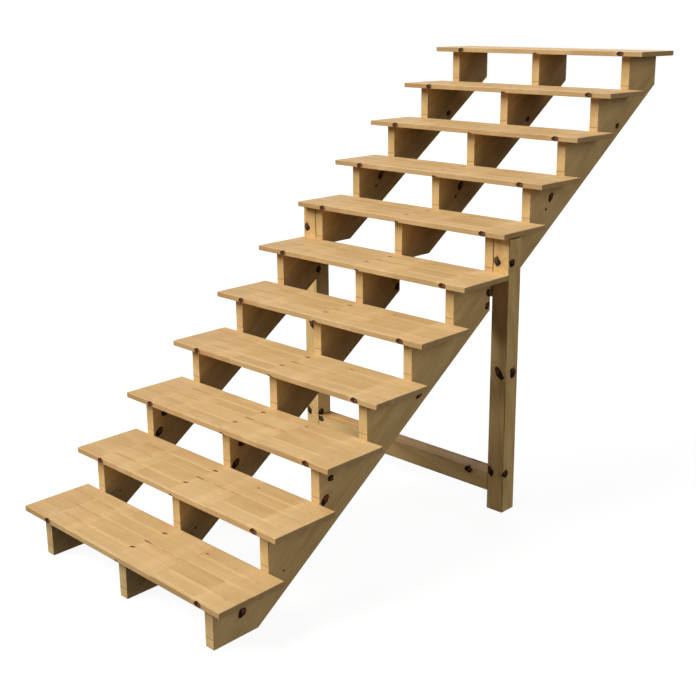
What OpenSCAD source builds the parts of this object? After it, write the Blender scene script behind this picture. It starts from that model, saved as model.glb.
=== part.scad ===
// Wooden deck stairs: a straight, open flight in two stacked lengths of sawtooth stringer.
// The lower length stands on the floor and ends just short of a frame of two square posts
// and two crossbeams, and the upper length starts on that frame.
// X runs across the flight, +Y is the way up, and the origin is the middle of the footprint.

/* [Flight] */
// Height from one tread to the next
rise = 187; // [150:1:220]
// Depth from one riser line to the next
going = 273; // [220:1:340]
// Steps on the lower length of stringers
lower_steps = 6; // [3:1:8]
// Steps on the upper length of stringers
upper_steps = 5; // [2:1:8]

/* [Treads] */
// Length of a tread, from end to end across the flight
tread_w = 1304; // [900:1:1800]
// Thickness of a tread
tread_t = 24; // [18:1:45]
// How far a tread stands out in front of its riser line
nosing = 40; // [10:1:60]

/* [Stringers] */
// Thickness of a stringer
stringer_t = 47; // [30:1:70]
// Timber left below the notches, measured square to the slope
throat = 115; // [70:1:180]
// How much is cut off the feet of the lower length, so the first riser is lower
foot_trim = 7; // [0:1:40]
// How far the back end of each length stops short of the next riser line
end_setback = 13; // [3:1:60]

/* [Post frame] */
// Side of the square section of the posts and crossbeams
post_side = 89; // [60:1:140]
// Height of the lower crossbeam above the floor
lower_beam_h = 89; // [20:1:400]

/* [Hidden] */
steps = lower_steps + upper_steps;
post_line = lower_steps * going;
slope = atan(rise / going);
throat_drop = throat / cos(slope);
stringer_x = [
  post_side - tread_w / 2,
  -stringer_t / 2,
  tread_w / 2 - post_side - stringer_t
];
frame_clear = tread_w - 2 * post_side;
centre_y = (steps * going - nosing) / 2;

tread_color = [0.84, 0.70, 0.48];
stringer_color = [0.80, 0.65, 0.43];
frame_color = [0.76, 0.61, 0.40];

// Height above the floor of the notch seat that carries tread k
function seat(k) = k * rise - foot_trim;

// Outline of a stringer of n steps, with the front corner of its foot at the origin and
// "trim" cut off below its first riser
function sawtooth(n, trim) =
  let (end = n * going - end_setback)
  concat(
    [[0, 0], [0, rise - trim]],
    [for (k = [1:n - 1], up = [0:1]) [k * going, (k + up) * rise - trim]],
    [[end, n * rise - trim], [end, end * rise / going - trim - throat_drop]],
    [[(trim + throat_drop) * going / rise, 0]]
  );

// Moves from the front riser line at the floor to the middle of the footprint
module placed() {
  translate([0, -centre_y, 0]) children();
}

// A stringer of the lower length, at one of the three places across the flight
module lower_stringer(place) {
  color(stringer_color) placed()
    translate([stringer_x[place], 0, 0])
      rotate([90, 0, 90]) linear_extrude(stringer_t)
        polygon(sawtooth(lower_steps, foot_trim));
}

// A stringer of the upper length, standing on the upper crossbeam
module upper_stringer(place) {
  color(stringer_color) placed()
    translate([stringer_x[place], post_line, seat(lower_steps)])
      rotate([90, 0, 90]) linear_extrude(stringer_t) polygon(sawtooth(upper_steps, 0));
}

module tread(k) {
  color(tread_color) placed()
    translate([-tread_w / 2, (k - 1) * going - nosing, seat(k)])
      cube([tread_w, going + nosing, tread_t]);
}

// A post outside the stringers, from the floor to the underside of the first upper tread
module post(x) {
  color(frame_color) placed()
    translate([x, post_line, 0]) cube([post_side, post_side, seat(lower_steps + 1)]);
}

// A beam between the posts, with its underside at height z
module crossbeam(z) {
  color(frame_color) placed()
    translate([-frame_clear / 2, post_line, z]) cube([frame_clear, post_side, post_side]);
}

module left_lower_stringer() { lower_stringer(0); }
module middle_lower_stringer() { lower_stringer(1); }
module right_lower_stringer() { lower_stringer(2); }
module left_upper_stringer() { upper_stringer(0); }
module middle_upper_stringer() { upper_stringer(1); }
module right_upper_stringer() { upper_stringer(2); }
module left_post() { post(-tread_w / 2); }
module right_post() { post(tread_w / 2 - post_side); }
module lower_crossbeam() { crossbeam(lower_beam_h); }
module upper_crossbeam() { crossbeam(seat(lower_steps) - post_side); }

for (k = [1:steps]) tread(k);
left_lower_stringer();
middle_lower_stringer();
right_lower_stringer();
left_upper_stringer();
middle_upper_stringer();
right_upper_stringer();
left_post();
right_post();
lower_crossbeam();
upper_crossbeam();
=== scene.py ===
"""Wooden deck stairs: glued pine treads on sawtooth stringers, carried at mid-height by posts.

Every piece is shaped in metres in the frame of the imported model: X runs across the flight, Y is
the way up and Z is the height above the floor.
"""

import logging
import math
from dataclasses import dataclass, field
from enum import Enum
from typing import Any, Sequence

import bmesh
import bpy
from mathutils import Matrix, Vector


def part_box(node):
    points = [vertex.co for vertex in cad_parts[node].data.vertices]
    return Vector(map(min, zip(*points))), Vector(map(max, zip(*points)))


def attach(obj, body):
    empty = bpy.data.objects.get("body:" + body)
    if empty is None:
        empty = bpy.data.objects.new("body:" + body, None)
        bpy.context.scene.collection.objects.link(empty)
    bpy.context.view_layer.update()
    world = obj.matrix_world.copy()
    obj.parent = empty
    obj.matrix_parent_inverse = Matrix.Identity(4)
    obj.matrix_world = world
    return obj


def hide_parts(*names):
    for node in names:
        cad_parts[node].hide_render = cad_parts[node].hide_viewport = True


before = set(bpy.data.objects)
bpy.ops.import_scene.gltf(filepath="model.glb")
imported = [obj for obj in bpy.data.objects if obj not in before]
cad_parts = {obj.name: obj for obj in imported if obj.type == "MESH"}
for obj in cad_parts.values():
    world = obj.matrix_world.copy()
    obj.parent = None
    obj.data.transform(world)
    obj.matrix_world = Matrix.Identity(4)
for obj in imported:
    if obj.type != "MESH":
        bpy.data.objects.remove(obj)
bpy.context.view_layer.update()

LOG = logging.getLogger("deck_stairs")
MM = 0.001
SHARP = math.radians(30)
ARRIS = "arris"
END_GRAIN = "end_grain"

# How strongly a change of tone shows in red, green and blue, so that darker wood is browner.
WARMTH = (0.9, 1.15, 1.6)
# How far apart along the tree the lengths of timber are cut.
CUT = 1.37
# Features to the metre along, across and through the grain.
SWAY = (1.5, 9.0, 9.0)
BROAD = (1.3, 30.0, 30.0)
FIBRE = (16.0, 620.0, 620.0)
CLOUD = (7.0, 15.0, 15.0)
WEAR = (11.0, 5.0, 5.0)
RESIN = (2.2, 22.0, 22.0)
CRUMBLE = (62.0, 62.0, 62.0)
PATCH = (14.0, 9.0, 9.0)
# How far a growth ring strays, how slowly it narrows along the tree, how far it swells at a
# knot, where its dark edge rises and ends, and how much of the faintest one shows.
STRAY = 22 * MM
TAPER = 0.012
SWELL = 1.3
LATE_RISE = (0.25, 0.88)
LATE_END = (1.0, 0.93)
FAINTEST = 0.35
# Where resin shows in its noise, where an arris is worn, and how worn it is elsewhere.
RESINOUS = (0.54, 0.76)
WORN = (0.38, 0.58)
LEAST_WORN = 0.4
# Where a knot's heart sits, how far its outline crumbles, and where its rim, heart and halo
# fade, all as shares of the knot's reach; then the rings of its heart.
HEART_SIDE = (0.40, -0.12, 0.0)
CRUMBLED = 0.55
RIM_FADE = (1.10, 0.90)
HEART_FADE = (0.58, 0.42)
HALO_FADE = (2.6, 1.0)
HEART_RINGS = 5.0
HEART_RISE = (0.2, 0.9)
HEART_SHOWN = 0.88
HEART_SHADE = 0.34
# How squarely a surface faces along the grain where it counts as the front of a step.
FRONTAL = 0.7

Triple = tuple[float, float, float]
Colour = Triple
Mesh = bmesh.types.BMesh
Piece = bpy.types.Object


# ---- shader expressions


class Value:
    """A socket whose value varies over a surface, with arithmetic that adds Math nodes."""

    def __init__(self, nodes: "Nodes", socket: bpy.types.NodeSocket) -> None:
        """Wraps an output socket.

        Args:
            nodes: the tree that the socket belongs to.
            socket: the output socket.
        """
        self.nodes = nodes
        self.socket = socket

    def math(self, operation: str, *inputs: Any) -> "Value":
        """Adds one Math node that takes these inputs in order."""
        return self.nodes.add("ShaderNodeMath", {"operation": operation}, *inputs)

    def __add__(self, other: Any) -> "Value":
        """Sum."""
        return self.math("ADD", self, other)

    def __sub__(self, other: Any) -> "Value":
        """Difference."""
        return self.math("SUBTRACT", self, other)

    def __rsub__(self, other: Any) -> "Value":
        """Difference from a plain number."""
        return self.math("SUBTRACT", other, self)

    def __mul__(self, other: Any) -> "Value":
        """Product."""
        return self.math("MULTIPLY", self, other)

    def __truediv__(self, other: Any) -> "Value":
        """Quotient."""
        return self.math("DIVIDE", self, other)

    __radd__ = __add__
    __rmul__ = __mul__

    def floor(self) -> "Value":
        """The whole number below."""
        return self.math("FLOOR", self)

    def fraction(self) -> "Value":
        """What is left above the whole number."""
        return self.math("FRACT", self)

    def size(self) -> "Value":
        """The number without its sign."""
        return self.math("ABSOLUTE", self)

    def over(self, limit: Any) -> "Value":
        """1 where the number is greater than the limit, and 0 elsewhere."""
        return self.math("GREATER_THAN", self, limit)

    def least(self, other: Any) -> "Value":
        """The smaller of two numbers."""
        return self.math("MINIMUM", self, other)

    def like(self, other: float) -> "Value":
        """1 where the number is about the same as the other, and 0 elsewhere."""
        return self.math("COMPARE", self, other, 0.5)

    def between(self, start: float, end: float) -> "Value":
        """1 between two places and 0 outside them, with soft ends."""
        soft = 14 * MM
        return self.eased(start - soft, start + soft) * self.eased(end + soft, end - soft)

    def eased(self, start: float, end: float) -> "Value":
        """A soft step.

        Args:
            start: where it is still 0.
            end: where it has reached 1, above or below the start.

        Returns:
            The step, between 0 and 1.
        """
        reach = {"From Min": min(start, end), "From Max": max(start, end)}
        step = self.nodes.add(
            "ShaderNodeMapRange", {"interpolation_type": "SMOOTHSTEP"}, Value=self, **reach
        )
        return step if start < end else 1.0 - step


class Nodes:
    """The node tree of a material or a world, filled through one method."""

    def __init__(self, tree: bpy.types.NodeTree) -> None:
        """Starts from an empty tree.

        Args:
            tree: the tree, whose nodes are removed.
        """
        self.tree = tree
        tree.nodes.clear()

    def add(
        self, kind: str, settings: dict[str, Any], *ordered: Any,
        out: str | int = 0, **named: Any,
    ) -> Value:
        """Adds a node.

        Args:
            kind: the node's type.
            settings: its own settings, which are set before its sockets.
            ordered: values or links for its sockets in use, in order.
            out: the output wanted, by name or number.
            named: values or links for its sockets by name.

        Returns:
            The output socket, wrapped.
        """
        return Value(self, self.node(kind, settings, *ordered, **named).outputs[out])

    def node(
        self, kind: str, settings: dict[str, Any], *ordered: Any, **named: Any
    ) -> bpy.types.Node:
        """Makes a node and fills its sockets.

        Args:
            kind: the node's type.
            settings: its own settings, which are set before its sockets.
            ordered: values or links for its sockets in use, in order.
            named: values or links for its sockets by name.

        Returns:
            The node.
        """
        node = self.tree.nodes.new(kind)
        for name, setting in settings.items():
            setattr(node, name, setting)
        in_use = [socket for socket in node.inputs if socket.enabled]
        pairs = list(zip(in_use, ordered))
        pairs += [(next(s for s in in_use if s.name == name), v) for name, v in named.items()]
        for socket, given in pairs:
            self.feed(socket, given)
        return node

    def feed(self, socket: bpy.types.NodeSocket, given: Any) -> None:
        """Fills one socket.

        Args:
            socket: the input socket.
            given: a wrapped output to link to it, or its plain value.
        """
        if isinstance(given, Value):
            self.tree.links.new(given.socket, socket)
        elif socket.type == "RGBA":
            socket.default_value = (*given, 1.0)
        else:
            socket.default_value = given

    def mix(self, factor: Any, first: Any, second: Any) -> Value:
        """Mixes two colours.

        Args:
            factor: how much of the second one shows.
            first: the colour at 0.
            second: the colour at 1.

        Returns:
            The mixed colour.
        """
        settings = {"data_type": "RGBA"}
        return self.add("ShaderNodeMix", settings, factor, first, second, out=2)

    def vector(self, operation: str, *inputs: Any, out: str | int = 0) -> Value:
        """Adds one Vector Math node and gives the output wanted."""
        return self.add("ShaderNodeVectorMath", {"operation": operation}, *inputs, out=out)

    def parts(self, vector: Value) -> list[Value]:
        """The three numbers of a vector."""
        outputs = self.node("ShaderNodeSeparateXYZ", {}, vector).outputs
        return [Value(self, output) for output in outputs]

    def noise(self, place: Value, stretch: Triple, detail: float, out: str = "Fac") -> Value:
        """Smooth noise, stretched along the grain.

        Args:
            place: where it is read.
            stretch: features to the metre along, across and through the grain.
            detail: how many finer layers it has.
            out: "Fac" for one number, "Color" for three.

        Returns:
            The noise, around a half.
        """
        scaled = self.vector("MULTIPLY", place, stretch)
        sockets = {"Vector": scaled, "Scale": 1.0, "Detail": detail}
        return self.add("ShaderNodeTexNoise", {}, out=out, **sockets)

    def chance(self, place: Value, out: str = "Color") -> Value:
        """A value that jumps from one whole place to the next."""
        return self.add("ShaderNodeTexWhiteNoise", {}, place, out=out)

    def joined(self, *numbers: Any) -> Value:
        """A vector from three numbers."""
        return self.add("ShaderNodeCombineXYZ", {}, *numbers)

    def show(self, shader: Value, kind: str) -> None:
        """Sends a shader to the tree's output, of the kind given."""
        self.node(kind, {}, shader)


# ---- how timber lies


class Grain(Enum):
    """The way that a length of timber runs."""

    ACROSS_FLIGHT = "across the flight"
    UPRIGHT = "upright"
    UP_SLOPE = "up the slope"


@dataclass(frozen=True)
class Lay:
    """Where a length of timber lies.

    Attributes:
        origin: the corner or middle that its own measures start from.
        grain: the way that it runs.
        slope: the angle of a sloping length above level.
    """

    origin: Vector
    grain: Grain
    slope: float = 0.0

    def axes(self) -> Matrix:
        """Works out the directions that the timber is measured in.

        Returns:
            The directions along, across and through it, as columns.
        """
        run, lift = math.cos(self.slope), math.sin(self.slope)
        rows = {
            Grain.ACROSS_FLIGHT: ((1, 0, 0), (0, 1, 0), (0, 0, 1)),
            Grain.UPRIGHT: ((0, 0, 1), (1, 0, 0), (0, 1, 0)),
            Grain.UP_SLOPE: ((0, run, lift), (0, -lift, run), (1, 0, 0)),
        }[self.grain]
        return Matrix(rows).transposed()

    def own(self, place: Vector) -> Vector:
        """A place in the flight's frame, measured along, across and through the timber."""
        return self.axes().transposed() @ (place - self.origin)


@dataclass(frozen=True)
class Knot:
    """A knot with a dark rim round a brown heart that sits to one side.

    Attributes:
        place: its middle, in the flight's frame.
        reach: half its size along, across and through the grain.
        lean: how far it is turned from the grain, in degrees.
    """

    place: Vector
    reach: Triple
    lean: float = 0.0


# ---- finishes


@dataclass(frozen=True)
class Figure:
    """The layout of the wood in a board.

    Attributes:
        wood: where each point lies in its own piece of wood.
        tone: how light or dark that piece is, around 0.
        line: how much of a dark line shows, from 0 to 1.
    """

    wood: Value
    tone: Value | float = 0.0
    line: Value | float = 0.0


@dataclass(frozen=True)
class Shares:
    """How much each feature of the wood adds to its roughness or to its relief."""

    late: float
    fibre: float
    rim: float
    heart: float = 0.0
    end: float = 0.0
    line: float = 0.0


ROUGHNESS = Shares(late=-0.07, fibre=0.16, rim=0.25, end=0.14)
RELIEF = Shares(late=0.05 * MM, fibre=0.10 * MM, rim=0.20 * MM, heart=-0.15 * MM, line=-0.20 * MM)


@dataclass(frozen=True)
class Pine:
    """Planed pine: rings, fibres, streaks, knots, end grain and rubbed arrises.

    Attributes:
        early: the pale wood of a growth ring.
        late: its dark edge.
        resin: the orange of resin streaks and of the wood round a knot.
        bark: the rim of a knot.
        heart: the inside of a knot.
        end: the tone of end grain.
        crack: the brown of checks, seams and stained arrises.
        ring: the mean width of a growth ring.
        pith: the middle of the tree, across and through from the timber's origin.
        ringed: how strongly the rings show.
        streak: how strongly broad streaks show.
        mottle: how strongly soft blotches show.
        fibred: how strongly the fibres show.
        sticky: how strongly resin streaks show.
        haloed: how orange the wood round a knot is.
        sawn: how far end grain takes its own tone.
        rubbed: how much lighter the arrises are.
        stained: how brown the arrises are.
        rough: how rough the planed surface is.
        shine: how much the surface mirrors.
    """

    early: Colour = (0.625, 0.430, 0.192)
    late: Colour = (0.480, 0.285, 0.102)
    resin: Colour = (0.540, 0.245, 0.078)
    bark: Colour = (0.018, 0.005, 0.003)
    heart: Colour = (0.230, 0.082, 0.028)
    end: Colour = (0.600, 0.400, 0.180)
    crack: Colour = (0.150, 0.068, 0.022)
    ring: float = 4.4 * MM
    pith: tuple[float, float] = (30 * MM, -110 * MM)
    ringed: float = 0.62
    streak: float = 0.40
    mottle: float = 0.22
    fibred: float = 0.26
    sticky: float = 0.34
    haloed: float = 0.22
    sawn: float = 0.50
    rubbed: float = 0.12
    stained: float = 0.0
    rough: float = 0.56
    shine: float = 0.35

    def dress(self, piece: Piece, lay: Lay, knots: Sequence[Knot], seed: float) -> None:
        """Gives a piece a material of its own.

        Args:
            piece: the piece to dress.
            lay: how its timber lies.
            knots: the knots in it.
            seed: what sets its grain apart from its neighbours'.
        """
        material = bpy.data.materials.new(piece.name + "_pine")
        material.use_nodes = True
        nodes = Nodes(material.node_tree)
        here = nodes.add("ShaderNodeTexCoord", {}, out="Object")
        turned = {"Location": lay.origin, "Rotation": lay.axes().to_euler()}
        place = nodes.add("ShaderNodeMapping", {"vector_type": "TEXTURE"}, here, **turned)
        colour, rough, height = self.surface(nodes, place, lay, knots, seed)
        bump = nodes.add("ShaderNodeBump", {}, Height=height, Strength=1.0, Distance=1.0)
        shader = nodes.add("ShaderNodeBsdfPrincipled", {}, **{
            "Base Color": colour, "Roughness": rough, "Normal": bump,
            "Specular IOR Level": self.shine,
        })
        nodes.show(shader, "ShaderNodeOutputMaterial")
        piece.data.materials.append(material)

    def figure(self, nodes: Nodes, place: Value, end: Value, seed: float) -> Figure:
        """Lays the wood out: here as a single plank."""
        return Figure(self.plank(nodes, place, seed))

    def plank(self, nodes: Nodes, place: Value, seed: float) -> Value:
        """The place in a tree of each point of a single plank."""
        return nodes.vector("ADD", place, (CUT * seed, 0.0, 0.0))

    def surface(
        self, nodes: Nodes, place: Value, lay: Lay, knots: Sequence[Knot], seed: float
    ) -> tuple[Value, Value, Value]:
        """Works out what varies over the timber.

        Args:
            nodes: the material's tree.
            place: the point, measured along, across and through the timber.
            lay: how the timber lies.
            knots: the knots in it.
            seed: what sets its grain apart.

        Returns:
            The colour, the roughness and the height in metres.
        """
        end = nodes.add("ShaderNodeAttribute", {"attribute_name": END_GRAIN}, out="Fac")
        arris = nodes.add("ShaderNodeAttribute", {"attribute_name": ARRIS}, out="Fac")
        figure = self.figure(nodes, place, end, seed)
        sway = nodes.noise(figure.wood, SWAY, 2.0, out="Color")
        wood = nodes.vector("MULTIPLY_ADD", sway, (0.0, STRAY, STRAY), figure.wood)
        rim, heart, halo = self.knots(nodes, place, lay, knots)
        late = self.rings(nodes, wood, halo)
        broad = nodes.noise(wood, BROAD, 2.0) - 0.5
        fibre = nodes.noise(figure.wood, FIBRE, 2.0)
        cloud = nodes.noise(figure.wood, CLOUD, 2.0) - 0.5
        worn = nodes.noise(figure.wood, WEAR, 2.0).eased(*WORN)
        resin = nodes.noise(figure.wood, RESIN, 1.0).eased(*RESINOUS)

        colour = nodes.mix(late * self.ringed, self.early, self.late)
        colour = nodes.mix(resin * self.sticky + halo * self.haloed, colour, self.resin)
        colour = nodes.mix(end * self.sawn, colour, self.end)
        tone = self.streak * broad + self.fibred * (fibre - 0.5) + self.mottle * cloud
        patchy = arris * (LEAST_WORN + (1.0 - LEAST_WORN) * worn)
        tone = tone + self.rubbed * patchy + figure.tone
        tones = nodes.joined(tone, tone, tone)
        warmth = nodes.vector("MULTIPLY_ADD", tones, WARMTH, (1.0, 1.0, 1.0))
        colour = nodes.vector("MULTIPLY", colour, warmth)
        colour = nodes.mix(figure.line + self.stained * patchy, colour, self.crack)
        colour = nodes.mix(rim, colour, self.bark)
        colour = nodes.mix(heart, colour, self.heart)
        rough = self.rough + ROUGHNESS.fibre * (fibre - 0.5) + ROUGHNESS.late * late
        rough = rough + ROUGHNESS.end * end + ROUGHNESS.rim * rim
        relief = RELIEF.late * late + RELIEF.fibre * fibre + RELIEF.rim * rim
        relief = relief + RELIEF.heart * heart + RELIEF.line * figure.line
        return colour, rough, relief

    def rings(self, nodes: Nodes, wood: Value, halo: Value) -> Value:
        """The dark edges of the growth rings, which swell round knots.

        Args:
            nodes: the material's tree.
            wood: the point in its own piece of wood.
            halo: how near the point is to a knot.

        Returns:
            How dark the ring is, from 0 to 1.
        """
        centred = nodes.vector("SUBTRACT", wood, (0.0, *self.pith))
        spread = nodes.vector("MULTIPLY", centred, (TAPER, 1.0, 1.0))
        count = nodes.vector("LENGTH", spread, out="Value") / self.ring + SWELL * halo
        grown = count.fraction()
        strength = nodes.chance(nodes.joined(count.floor(), 0.0, 0.0), out="Value")
        edge = grown.eased(*LATE_RISE) * grown.eased(*LATE_END)
        return edge * (FAINTEST + (1.0 - FAINTEST) * strength)

    def knots(
        self, nodes: Nodes, place: Value, lay: Lay, knots: Sequence[Knot]
    ) -> tuple[Value, Value, Value]:
        """The rims, hearts and halos of the knots.

        Args:
            nodes: the material's tree.
            place: the point, measured along, across and through the timber.
            lay: how the timber lies.
            knots: the knots in it.

        Returns:
            Three masks from 0 to 1.
        """
        crumbled = nodes.noise(place, CRUMBLE, 1.5, out="Color")
        scale, start = (2 * CRUMBLED,) * 3, (-CRUMBLED,) * 3
        crumbled = nodes.vector("MULTIPLY_ADD", crumbled, scale, start)
        rims, hearts = [], []
        for knot in knots:
            turned = {
                "Location": lay.own(knot.place),
                "Rotation": (0.0, 0.0, math.radians(knot.lean)),
                "Scale": knot.reach,
            }
            inside = nodes.add("ShaderNodeMapping", {"vector_type": "TEXTURE"}, place, **turned)
            inside = nodes.vector("ADD", inside, crumbled)
            rims.append(nodes.vector("LENGTH", inside, out="Value"))
            hearts.append(nodes.vector("DISTANCE", inside, HEART_SIDE, out="Value"))
        rim, heart = rims[0], hearts[0]
        for other_rim, other_heart in zip(rims[1:], hearts[1:]):
            rim, heart = rim.least(other_rim), heart.least(other_heart)
        dark = rim.eased(*RIM_FADE)
        grown = (heart * HEART_RINGS).fraction().eased(*HEART_RISE)
        core = heart.eased(*HEART_FADE) * dark * (HEART_SHOWN - HEART_SHADE * grown)
        return dark, core, rim.eased(*HALO_FADE)


@dataclass(frozen=True)
class SteppedPine(Pine):
    """A pine plank cut into steps, with a fine check across the front of each.

    Attributes:
        rise: the height from one step to the next.
        slope: the angle of the plank above level.
        check_height: how high the first check is above the plank's origin.
        check_width: how wide a check is.
        check_shown: how dark a check is.
    """

    rise: float = 187 * MM
    slope: float = math.radians(34.4)
    check_height: float = 42 * MM
    check_width: float = 1.8 * MM
    check_shown: float = 0.9

    def figure(self, nodes: Nodes, place: Value, end: Value, seed: float) -> Figure:
        """Lays the wood out as a single plank and adds the checks.

        Args:
            nodes: the material's tree.
            place: the point, measured along, across and through the plank.
            end: how nearly the surface faces along the grain.
            seed: what sets its grain apart.

        Returns:
            The layout.
        """
        along, across, _ = nodes.parts(place)
        height = along * math.sin(self.slope) + across * math.cos(self.slope)
        steps = (height - self.check_height) / self.rise + 0.5
        gap = (steps.fraction() - 0.5).size() * self.rise
        facing = end.over(FRONTAL)
        check = gap.eased(self.check_width, self.check_width / 3) * facing
        return Figure(self.plank(nodes, place, seed), 0.0, self.check_shown * check)


@dataclass(frozen=True)
class BeamPine(Pine):
    """A pine beam whose top is painted darker than its sides: painted shade from the flight above.

    Attributes:
        top: how high its top is above its origin.
        top_shade: how much darker the top is painted, as painted shade.
    """

    top: float = 89 * MM
    top_shade: float = 0.43

    def figure(self, nodes: Nodes, place: Value, end: Value, seed: float) -> Figure:
        """Lays the wood out as a single plank and darkens its top with painted shade.

        Args:
            nodes: the material's tree.
            place: the point, measured along, across and through the beam.
            end: how nearly the surface faces along the grain; not used here.
            seed: what sets its grain apart.

        Returns:
            The layout.
        """
        _, _, height = nodes.parts(place)
        # Painted shade: the top face is darkened as if the flight above shaded it.
        flat = height.eased(self.top - 3 * MM, self.top - 1 * MM)
        return Figure(self.plank(nodes, place, seed), -self.top_shade * flat)


@dataclass(frozen=True)
class Stave:
    """A stave whose wood is plainly lighter or darker than its neighbours'.

    Attributes:
        row: its row in each half of the board, from the front.
        column: its place to the right of the board's middle.
        tone: how much lighter it is.
    """

    row: int
    column: int
    tone: float


@dataclass(frozen=True)
class Streak:
    """A stretch of a line along the board.

    Attributes:
        start: its left end.
        end: its right end.
        depth: how far the line is from the front of each half of the board.
        tone: how much lighter it is.
    """

    start: float
    end: float
    depth: float
    tone: float


@dataclass(frozen=True)
class GluedPine(Pine):
    """Pine staves glued edge to edge and end to end into a board of two like halves.

    Attributes:
        half: the depth of each half.
        row_start: how far the first row starts from the front of each half.
        row_joint: how far the second row starts from the first.
        stave: the length of a stave.
        stave_start: how far the staves' ends are shifted to the right.
        staves: the staves that stand out.
        streaks: pale and brown streaks along the rows' edges.
        seams: the stretches where the seam between the halves shows dark.
        bands: where paler bands run across the board, and how much lighter they are.
        cut_apart: how far apart in the tree the staves are cut.
        varied: how much the staves' tones vary.
        streak_edge: half the width of a streak, with its soft edge and without.
        band_edge: the same for a band.
        butt_edge: the same for the joints between the staves' ends.
        seam_edge: the same for the seam between the halves.
        butt_patch: where the staves' ends show in the patches' noise.
        seam_patch: where the seam shows in it.
        butt_shown: how dark the staves' ends are.
        seam_shown: how dark the seam is at its darkest.
        seam_least: how much of that shows where the seam is faint.
    """

    early: Colour = (0.540, 0.358, 0.165)
    late: Colour = (0.410, 0.227, 0.085)
    end: Colour = (0.450, 0.280, 0.128)
    bark: Colour = (0.036, 0.011, 0.006)
    ringed: float = 0.36
    streak: float = 0.30
    half: float = 156.5 * MM
    row_start: float = 8 * MM
    row_joint: float = 70 * MM
    stave: float = 245 * MM
    stave_start: float = 3 * MM
    staves: tuple[Stave, ...] = (
        Stave(0, -1, -0.060), Stave(0, 0, 0.025), Stave(1, 0, 0.030), Stave(1, 1, -0.065),
        Stave(0, 1, -0.01), Stave(1, -2, 0.02), Stave(1, -3, -0.09), Stave(0, -3, -0.09),
    )
    streaks: tuple[Streak, ...] = (
        Streak(-0.66, -0.52, 0.008, 0.03), Streak(-0.30, -0.01, 0.008, 0.20),
        Streak(0.26, 0.58, 0.008, 0.18), Streak(-0.66, -0.52, 0.078, 0.04),
        Streak(-0.29, -0.01, 0.079, 0.18), Streak(0.26, 0.58, 0.078, 0.18),
        Streak(-0.47, -0.33, 0.080, -0.17), Streak(0.52, 0.60, 0.081, -0.11),
    )
    seams: tuple[tuple[float, float], ...] = ((-0.51, -0.25), (-0.002, 0.25), (0.48, 0.55))
    bands: tuple[tuple[float, float], ...] = (
        (-0.50, 0.045), (-0.325, 0.075), (0.01, 0.03), (0.175, 0.065), (0.505, 0.05),
    )
    cut_apart: Triple = (3.0, 0.10, 0.05)
    varied: float = 0.07
    streak_edge: tuple[float, float] = (10.5 * MM, 2.5 * MM)
    band_edge: tuple[float, float] = (36 * MM, 14 * MM)
    butt_edge: tuple[float, float] = (1.4 * MM, 0.5 * MM)
    seam_edge: tuple[float, float] = (2.6 * MM, 1.0 * MM)
    butt_patch: tuple[float, float] = (0.40, 0.60)
    seam_patch: tuple[float, float] = (0.36, 0.50)
    butt_shown: float = 0.25
    seam_shown: float = 0.55
    seam_least: float = 0.25

    def figure(self, nodes: Nodes, place: Value, end: Value, seed: float) -> Figure:
        """Lays the wood out in rows of staves.

        Args:
            nodes: the material's tree.
            place: the point, measured along, across and through the board.
            end: how nearly the surface faces along the grain; not used here.
            seed: what sets its grain apart.

        Returns:
            The layout.
        """
        along, across, _ = nodes.parts(place)
        halves = (across - self.row_start) / self.half + 1.0
        depth = halves.fraction() * self.half
        row = depth.over(self.row_joint)
        count = (along - self.stave_start) / self.stave
        column = count.floor()
        chance = nodes.chance(nodes.joined(column, row + 2.0 * halves.floor(), seed))
        first, _, _ = nodes.parts(chance)
        wood = nodes.vector("MULTIPLY_ADD", chance, self.cut_apart, place)
        patch = nodes.noise(place, PATCH, 2.0)

        tone = self.varied * (first - 0.5)
        for stave in self.staves:
            here = column.like(stave.column) * row.like(stave.row)
            tone = tone + stave.tone * here
        for streak in self.streaks:
            line = (depth - (streak.depth - self.row_start)).size().eased(*self.streak_edge)
            tone = tone + streak.tone * line * along.between(streak.start, streak.end)
        for middle, paler in self.bands:
            tone = tone + paler * (along - middle).size().eased(*self.band_edge)

        gap = ((count + 0.5).fraction() - 0.5).size() * self.stave
        butt = gap.eased(*self.butt_edge) * patch.eased(*self.butt_patch)
        shown = sum((along.between(*seam) for seam in self.seams), self.seam_least)
        seam = (across - self.half).size().eased(*self.seam_edge)
        dashed = patch.eased(*self.seam_patch)
        return Figure(wood, tone, self.butt_shown * butt + self.seam_shown * seam * shown * dashed)


# ---- meshes


def block(low: Vector, high: Vector) -> Mesh:
    """A square-edged length of timber.

    Args:
        low: its lowest corner.
        high: its highest corner.

    Returns:
        The mesh.
    """
    mesh = bmesh.new()
    made = bmesh.ops.create_cube(mesh, size=1.0)
    bmesh.ops.scale(mesh, vec=high - low, verts=made["verts"])
    bmesh.ops.translate(mesh, vec=(low + high) / 2, verts=made["verts"])
    return mesh


def ease_arrises(mesh: Mesh, width: float) -> None:
    """Rounds the outer arrises and marks them for the finish.

    Args:
        mesh: the mesh, with its faces outwards.
        width: how far back from the corner each rounding starts.
    """
    rubbed = mesh.faces.layers.float.new(ARRIS)
    outer = [e for e in mesh.edges if e.is_convex and e.calc_face_angle(0.0) > SHARP]
    made = bmesh.ops.bevel(
        mesh, geom=outer, offset=width, offset_type="OFFSET", affect="EDGES",
        segments=4, profile=0.5, material=-1, clamp_overlap=True,
    )
    for face in made["faces"]:
        face[rubbed] = 1.0
        face.smooth = True


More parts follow.
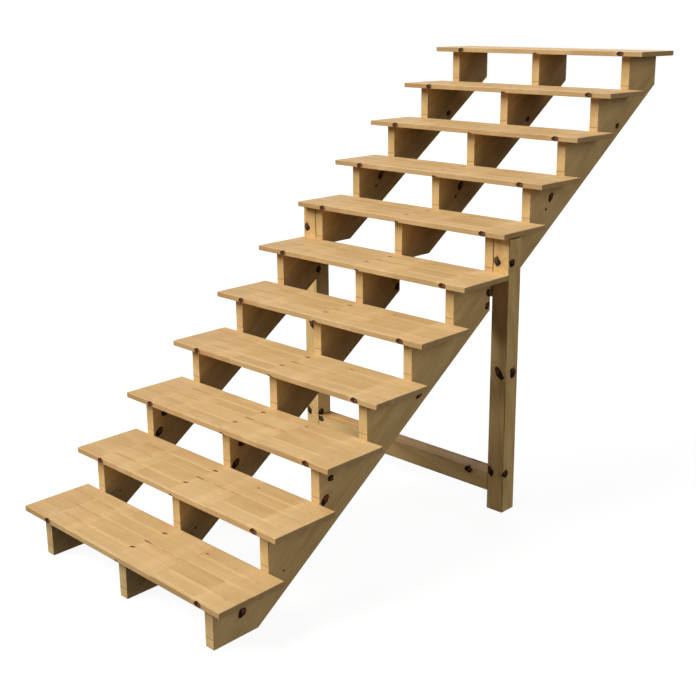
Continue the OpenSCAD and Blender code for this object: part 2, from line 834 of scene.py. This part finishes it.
def piece_from(mesh: Mesh, name: str, lay: Lay) -> Piece:
    """Turns a mesh into a piece of the model.

    Args:
        mesh: the mesh, which is used up.
        name: the piece's name.
        lay: how its timber lies, which tells end grain from long grain.

    Returns:
        The piece.
    """
    bmesh.ops.recalc_face_normals(mesh, faces=mesh.faces[:])
    cut = mesh.faces.layers.float.new(END_GRAIN)
    along = lay.axes().col[0]
    for face in mesh.faces:
        face[cut] = abs(face.normal.dot(along))
    data = bpy.data.meshes.new(name)
    mesh.to_mesh(data)
    mesh.free()
    piece = bpy.data.objects.new(name, data)
    bpy.context.scene.collection.objects.link(piece)
    return piece


def fit(piece: Piece, node: str) -> None:
    """Stands a finished piece in for its CAD node.

    Args:
        piece: the piece.
        node: the CAD node that it replaces.
    """
    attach(piece, "root")
    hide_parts(node)
    LOG.info("%s stands for %s with %d faces", piece.name, node, len(piece.data.polygons))


# ---- sub-assemblies


@dataclass(frozen=True)
class TreadKnot:
    """A knot in a tread, measured from the middle of its top front edge.

    Attributes:
        right: how far to the right it is.
        back: how far back it is.
        drop: how far below the top it is.
        reach: half its size across the flight, backwards and upright.
        lean: how far it is turned, in degrees.
    """

    right: float
    back: float
    drop: float
    reach: Triple
    lean: float = 0.0


@dataclass
class Treads:
    """The treads, each a board of glued staves with a fine seam at mid-depth.

    Attributes:
        holes: the knots of each tread.
        arris: how far back from its corner each rounding starts.
        seam_width: half the width of the seam.
        seam_depth: how deep the seam is.
        weld: how near to a cut a corner counts as on it.
        finish: the finish.
    """

    holes: Sequence[TreadKnot]
    arris: float = 1.8 * MM
    seam_width: float = 0.7 * MM
    seam_depth: float = 0.4 * MM
    weld: float = 1e-7
    finish: GluedPine = field(default_factory=GluedPine)

    def build(self, count: int) -> None:
        """Makes, dresses and fits every tread.

        Args:
            count: how many there are.
        """
        for k in range(1, count + 1):
            node = f"tread_{k}"
            low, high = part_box(node)
            lay = Lay(Vector((0.0, low.y, (low.z + high.z) / 2)), Grain.ACROSS_FLIGHT)
            piece = piece_from(self.shape(low, high), f"tread_board_{k}", lay)
            self.finish.dress(piece, lay, self.knots(low, high), float(k))
            fit(piece, node)

    def shape(self, low: Vector, high: Vector) -> Mesh:
        """Shapes one tread.

        Args:
            low: its lowest corner.
            high: its highest corner.

        Returns:
            The mesh.
        """
        mesh = block(low, high)
        ease_arrises(mesh, self.arris)
        middle = (low + high) / 2
        for step in (-self.seam_width, 0.0, self.seam_width):
            bmesh.ops.bisect_plane(
                mesh, geom=mesh.verts[:] + mesh.edges[:] + mesh.faces[:], dist=self.weld,
                plane_co=middle + Vector((0, step, 0)), plane_no=(0, 1, 0),
            )
        seam = [v for v in mesh.verts if abs(v.co.y - middle.y) < self.seam_width / 2]
        size = high - low
        shrink = Vector((1 - 2 * self.seam_depth / size.x, 1, 1 - 2 * self.seam_depth / size.z))
        bmesh.ops.scale(mesh, vec=shrink, space=Matrix.Translation(-middle), verts=seam)
        return mesh

    def knots(self, low: Vector, high: Vector) -> list[Knot]:
        """Places the knots of one tread.

        Args:
            low: its lowest corner.
            high: its highest corner.

        Returns:
            The knots, in the flight's frame.
        """
        found = []
        for hole in self.holes:
            place = Vector((hole.right, low.y + hole.back, high.z - hole.drop))
            found.append(Knot(place, hole.reach, hole.lean))
        return found


@dataclass(frozen=True)
class KnotHole:
    """A knot in a stringer or a post, measured from the front corner of its foot.

    Attributes:
        back: how far back from that corner it is, or on a post's front how far across.
        up: how high it is.
        reach: half its size along and across the grain.
        lean: how far it is turned from the grain, in degrees.
    """

    back: float
    up: float
    reach: tuple[float, float]
    lean: float = 0.0


@dataclass
class Stringers:
    """Three like sawtooth planks of one length of the flight.

    Attributes:
        level: which length it is, lower or upper.
        first_tread: the number of the first tread that it carries.
        holes: the knots of each plank.
        throat: the timber below the notches, measured square to the slope.
        arris: how far back from its corner each rounding starts.
        through: how far a knot runs, which is through the whole thickness.
        finish: the finish.
    """

    level: str
    first_tread: int
    holes: Sequence[KnotHole]
    throat: float = 115 * MM
    arris: float = 1.5 * MM
    through: float = 0.5
    finish: Pine = field(
        default_factory=lambda: SteppedPine(ringed=0.34, streak=0.24, mottle=0.42)
    )

    def build(self) -> None:
        """Makes, dresses and fits the left, middle and right stringers."""
        first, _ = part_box(f"tread_{self.first_tread}")
        second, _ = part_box(f"tread_{self.first_tread + 1}")
        step = second - first
        slope = math.atan2(step.z, step.y)
        for place, side in enumerate(("left", "middle", "right")):
            node = f"{side}_{self.level}_stringer"
            low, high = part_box(node)
            lay = Lay(Vector(((low.x + high.x) / 2, low.y, low.z)), Grain.UP_SLOPE, slope)
            mesh = self.shape(low, high, first.z, step)
            piece = piece_from(mesh, f"{side}_{self.level}_plank", lay)
            self.finish.dress(piece, lay, self.knots(lay), 20.0 + self.first_tread + place)
            fit(piece, node)

    def shape(self, low: Vector, high: Vector, seat: float, step: Vector) -> Mesh:
        """Shapes one stringer: its outline, given its thickness, with eased arrises.

        Args:
            low: its lowest corner.
            high: its highest corner.
            seat: the height of its first notch.
            step: the going and rise from one tread to the next.

        Returns:
            The mesh.
        """
        pitch = step.z / step.y
        drop = self.throat * math.hypot(1.0, pitch)
        root = seat - step.z
        count = round((high.y - low.y) / step.y)
        outline = [(low.y, low.z)]
        for k in range(count):
            riser = low.y + k * step.y
            if k:
                outline.append((riser, seat + (k - 1) * step.z))
            outline.append((riser, seat + k * step.z))
        outline.append((high.y, seat + (count - 1) * step.z))
        outline.append((high.y, root + (high.y - low.y) * pitch - drop))
        outline.append((low.y + (low.z - root + drop) / pitch, low.z))
        mesh = bmesh.new()
        side = mesh.faces.new([mesh.verts.new((low.x, y, z)) for y, z in outline])
        made = bmesh.ops.extrude_face_region(mesh, geom=[side], use_keep_orig=True)["geom"]
        across = [v for v in made if isinstance(v, bmesh.types.BMVert)]
        bmesh.ops.translate(mesh, vec=(high.x - low.x, 0, 0), verts=across)
        bmesh.ops.recalc_face_normals(mesh, faces=mesh.faces[:])
        ease_arrises(mesh, self.arris)
        return mesh

    def knots(self, lay: Lay) -> list[Knot]:
        """Places the knots of one stringer, which run through its thickness.

        Args:
            lay: how its timber lies.

        Returns:
            The knots, in the flight's frame.
        """
        found = []
        for hole in self.holes:
            place = lay.origin + Vector((0.0, hole.back, hole.up))
            found.append(Knot(place, (*hole.reach, self.through), hole.lean))
        return found


@dataclass
class PostFrame:
    """Two posts and two crossbeams that carry the upper length of the flight.

    Attributes:
        post_holes: the knots of each post.
        beam_holes: the places along a crossbeam where its knots start, front and back.
        arris: how far back from its corner each rounding starts.
        knot_depth: how far a knot runs into the timber.
        side_share: a post knot's size on the side, upright and across, as shares of the front's.
        gap_shade_drop: how far below the post's top the painted shade line of the gap beside the
            stringer is centred.
        gap_shade: half that painted shade line's size along, across and through the post.
        tread_shade_back: how far behind the post's front the painted shadow line under the tread
            is centred.
        butt: half the size of that painted shadow line along, across and through the post.
        beam_drop: how far below the top a crossbeam's front knots are.
        beam_front: half the size of a crossbeam's front knots.
        beam_back_shift: how far to the left of them the knots on the back arris are.
        beam_back: half the size of those.
        posts: the finish of the posts.
        beams: the finish of the crossbeams.
    """

    post_holes: Sequence[KnotHole]
    beam_holes: Sequence[float]
    arris: float = 3.2 * MM
    knot_depth: float = 30 * MM
    side_share: tuple[float, float] = (0.80, 1.25)
    gap_shade_drop: float = 80 * MM
    gap_shade: Triple = (90 * MM, 4.5 * MM, 4 * MM)
    tread_shade_back: float = 40 * MM
    butt: Triple = (4.2 * MM, 4 * MM, 60 * MM)
    beam_drop: float = 15 * MM
    beam_front: Triple = (24 * MM, 30 * MM, 17 * MM)
    beam_back_shift: float = 17 * MM
    beam_back: Triple = (30 * MM, 16 * MM, 10 * MM)
    posts: Pine = field(default_factory=lambda: Pine(
        early=(0.700, 0.478, 0.208), late=(0.560, 0.335, 0.120), heart=(0.130, 0.055, 0.020),
        bark=(0.014, 0.005, 0.002), pith=(18 * MM, 26 * MM), streak=0.30, stained=0.80,
    ))
    beams: Pine = field(default_factory=lambda: BeamPine(
        early=(0.740, 0.505, 0.223), late=(0.595, 0.358, 0.130), heart=(0.130, 0.055, 0.020),
        bark=(0.014, 0.005, 0.002), pith=(60 * MM, 20 * MM), streak=0.30, stained=0.55,
    ))

    def build(self) -> None:
        """Makes, dresses and fits the posts and the crossbeams."""
        for place, side in enumerate(("left", "right")):
            node = f"{side}_post"
            low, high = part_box(node)
            lay = Lay(low, Grain.UPRIGHT)
            piece = self.square(node, f"{side}_upright", low, high, lay)
            self.posts.dress(piece, lay, self.post_knots(low, high), 40.0 + place)
        for place, level in enumerate(("lower", "upper")):
            node = f"{level}_crossbeam"
            low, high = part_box(node)
            lay = Lay(Vector((0.0, low.y, low.z)), Grain.ACROSS_FLIGHT)
            piece = self.square(node, f"{level}_beam", low, high, lay)
            self.beams.dress(piece, lay, self.beam_knots(low, high), 50.0 + place)

    def square(self, node: str, name: str, low: Vector, high: Vector, lay: Lay) -> Piece:
        """Shapes and fits one square timber.

        Args:
            node: the CAD node that it stands for.
            name: its own name.
            low: its lowest corner.
            high: its highest corner.
            lay: how its timber lies.

        Returns:
            The piece, without a finish.
        """
        mesh = block(low, high)
        ease_arrises(mesh, self.arris)
        piece = piece_from(mesh, name, lay)
        fit(piece, node)
        return piece

    def post_knots(self, low: Vector, high: Vector) -> list[Knot]:
        """Places the knots of a post, and painted shade: dark lines beside the stringer and under
        the tread.

        Args:
            low: its lowest corner.
            high: its highest corner.

        Returns:
            The knots and the painted shade lines, in the flight's frame.
        """
        found = []
        for hole in self.post_holes:
            (long, wide), level = hole.reach, low.z + hole.up
            front = Vector((low.x + hole.back, low.y, level))
            side = Vector((high.x, low.y + hole.back, level))
            upright, across = self.side_share
            found.append(Knot(front, (long, wide, self.knot_depth), hole.lean))
            found.append(Knot(side, (long * upright, self.knot_depth, wide * across)))
        inner = high.x if high.x < 0 else low.x
        # Painted shade: a dark line for the shadow gap between the post and the stringer beside
        # it.
        found.append(Knot(Vector((inner, low.y, high.z - self.gap_shade_drop)), self.gap_shade))
        # Painted shade: a dark line for the shadow under the tread, along the top of the post's
        # right side.
        found.append(Knot(Vector((high.x, low.y + self.tread_shade_back, high.z)), self.butt))
        return found

    def beam_knots(self, low: Vector, high: Vector) -> list[Knot]:
        """Places the knots of a crossbeam, in its front and along its back arris.

        Args:
            low: its lowest corner.
            high: its highest corner.

        Returns:
            The knots, in the flight's frame.
        """
        found = []
        for x in self.beam_holes:
            front = Vector((x, low.y, high.z - self.beam_drop))
            back = Vector((x - self.beam_back_shift, high.y, high.z))
            found.append(Knot(front, self.beam_front))
            found.append(Knot(back, self.beam_back))
        return found


# ---- studio


@dataclass(frozen=True)
class Lamp:
    """A soft light from far away.

    Attributes:
        name: its name.
        source: the direction that it comes from.
        strength: how strong it is.
        colour: its tint.
        spread: how wide it looks from the object, in degrees.
    """

    name: str
    source: Triple
    strength: float
    colour: Colour = (1.0, 1.0, 1.0)
    spread: float = 45.0

    def light(self, scene: bpy.types.Scene) -> None:
        """Adds it to a scene.

        Args:
            scene: the scene.
        """
        data = bpy.data.lights.new(self.name, "SUN")
        data.energy = self.strength
        data.color = self.colour
        data.angle = math.radians(self.spread)
        sun = bpy.data.objects.new(self.name, data)
        sun.rotation_euler = Vector(self.source).to_track_quat("Z", "Y").to_euler()
        scene.collection.objects.link(sun)


KEY = Lamp("key", (-0.5, -0.5, 0.7), 5.0, (1.0, 0.985, 0.93))
SIDE = Lamp("side", (0.93, 0.0, 0.27), 1.1, (1.0, 0.99, 0.93), 60.0)
BACK = Lamp("back", (-0.40, 0.75, 0.50), 0.60)


@dataclass
class Studio:
    """A pale floor, three soft lamps, a faint sky and the camera.

    Attributes:
        camera_place: where the camera stands.
        camera_turn: how far it is turned to the left of the way up.
        camera_dip: how far it looks down.
        lens: its focal length, in millimetres.
        sensor: its sensor's width, in millimetres.
        shift: how far its picture is shifted, as shares of the picture's width.
        lamps: the lamps.
        floor_size: the length of the floor's sides.
        floor_tone: how much of the lamps' light it gives back.
        floor_glow: how bright it is unlit.
        floor_rough: how rough it is.
        sky_rise: where the sky starts to brighten and where it is brightest, from -1 to 1.
        sky_tone: how bright it is overhead.
    """

    camera_place: Triple = (3.4132, -3.6883, 2.2488)
    camera_turn: float = math.radians(42.605)
    camera_dip: float = math.radians(14.565)
    lens: float = 56.70
    sensor: float = 36.0
    shift: tuple[float, float] = (-0.0450, -0.0692)
    lamps: tuple[Lamp, ...] = (KEY, SIDE, BACK)
    floor_size: float = 60.0
    floor_tone: float = 0.10
    floor_glow: float = 0.925
    floor_rough: float = 0.9
    sky_rise: tuple[float, float] = (-0.6, 0.9)
    sky_tone: float = 0.060

    def build(self) -> None:
        """Sets everything up."""
        scene = bpy.context.scene
        scene.view_settings.view_transform = "Standard"
        self.add_camera(scene)
        for lamp in self.lamps:
            lamp.light(scene)
        self.add_floor(scene)
        self.add_sky(scene)

    def add_camera(self, scene: bpy.types.Scene) -> None:
        """Sets the camera up and makes it the scene's.

        Args:
            scene: the scene.
        """
        data = bpy.data.cameras.new("camera")
        data.lens = self.lens
        data.sensor_width = self.sensor
        data.shift_x, data.shift_y = self.shift
        data.clip_end = 2 * self.floor_size
        camera = bpy.data.objects.new("camera", data)
        camera.location = self.camera_place
        camera.rotation_euler = (math.pi / 2 - self.camera_dip, 0.0, self.camera_turn)
        scene.collection.objects.link(camera)
        scene.camera = camera

    def add_floor(self, scene: bpy.types.Scene) -> None:
        """Adds the pale floor, which lights nothing from below.

        Args:
            scene: the scene.
        """
        mesh = bmesh.new()
        bmesh.ops.create_grid(mesh, x_segments=1, y_segments=1, size=self.floor_size / 2)
        data = bpy.data.meshes.new("floor")
        mesh.to_mesh(data)
        mesh.free()
        floor = bpy.data.objects.new("floor", data)
        scene.collection.objects.link(floor)
        material = bpy.data.materials.new("floor_paint")
        material.use_nodes = True
        nodes = Nodes(material.node_tree)
        paint = nodes.add("ShaderNodeBsdfPrincipled", {}, **{
            "Base Color": (self.floor_tone,) * 3, "Roughness": self.floor_rough,
            "Emission Color": (1.0, 1.0, 1.0), "Emission Strength": self.floor_glow,
        })
        nodes.show(paint, "ShaderNodeOutputMaterial")
        data.materials.append(material)
        floor.visible_diffuse = False
        floor.visible_glossy = False

    def add_sky(self, scene: bpy.types.Scene) -> None:
        """Adds the soft light from all round, with white behind the object.

        Args:
            scene: the scene.
        """
        world = bpy.data.worlds.new("sky")
        world.use_nodes = True
        scene.world = world
        nodes = Nodes(world.node_tree)
        seen = nodes.add("ShaderNodeLightPath", {}, out="Is Camera Ray")
        _, _, up = nodes.parts(nodes.add("ShaderNodeTexCoord", {}, out="Generated"))
        soft = nodes.mix(up.eased(*self.sky_rise), (0.0, 0.0, 0.0), (self.sky_tone,) * 3)
        light = nodes.mix(seen, soft, (1.0, 1.0, 1.0))
        nodes.show(nodes.add("ShaderNodeBackground", {}, light, 1.0), "ShaderNodeOutputWorld")


# ---- everything in order


TREAD_HOLES = (
    TreadKnot(-0.473, 0.0, 0.012, (0.020, 0.007, 0.0120)),
    TreadKnot(0.529, 0.0, 0.012, (0.020, 0.007, 0.0120)),
    TreadKnot(0.022, 0.0, 0.024, (0.015, 0.010, 0.008)),
    TreadKnot(0.004, 0.091, 0.0, (0.0125, 0.0058, 0.012), 12.0),
    TreadKnot(0.004, 0.248, 0.0, (0.0125, 0.0058, 0.012), 12.0),
    TreadKnot(0.016, 0.158, 0.0, (0.020, 0.003, 0.006)),
    TreadKnot(0.270, 0.256, 0.0, (0.006, 0.003, 0.006)),
)
LOWER_HOLES = (
    KnotHole(0.137, 0.098, (0.022, 0.018), 10.0),
    KnotHole(0.350, 0.185, (0.005, 0.004)),
    KnotHole(0.610, 0.482, (0.018, 0.013), -34.0),
    KnotHole(0.577, 0.402, (0.026, 0.016), 10.0),
    KnotHole(1.142, 0.687, (0.020, 0.009), -22.0),
    KnotHole(1.605, 0.990, (0.018, 0.015), 0.0),
    KnotHole(1.612, 1.050, (0.015, 0.018), 0.0),
)
POST_HOLES = (
    KnotHole(0.023, 1.191, (0.022, 0.017), -30.0),
    KnotHole(0.052, 0.675, (0.034, 0.017), -40.0),
    KnotHole(0.019, 0.190, (0.023, 0.017), -35.0),
)
BEAM_HOLES = (-0.548, 0.452)
UPPER_HOLES = (
    KnotHole(0.439, 0.310, (0.026, 0.017), 12.0),
    KnotHole(0.404, 0.257, (0.008, 0.007)),
    KnotHole(1.004, 0.600, (0.018, 0.013), -20.0),
)


def main() -> None:
    """Builds the studio and then the stairs, from the treads down to the post frame."""
    logging.basicConfig(level=logging.INFO, format="%(message)s")
    treads = sum(1 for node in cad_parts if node.startswith("tread_"))
    Studio().build()
    Treads(TREAD_HOLES).build(treads)
    Stringers("lower", 1, LOWER_HOLES).build()
    Stringers("upper", 7, UPPER_HOLES).build()
    PostFrame(POST_HOLES, BEAM_HOLES).build()


if __name__ == "__main__":
    main()
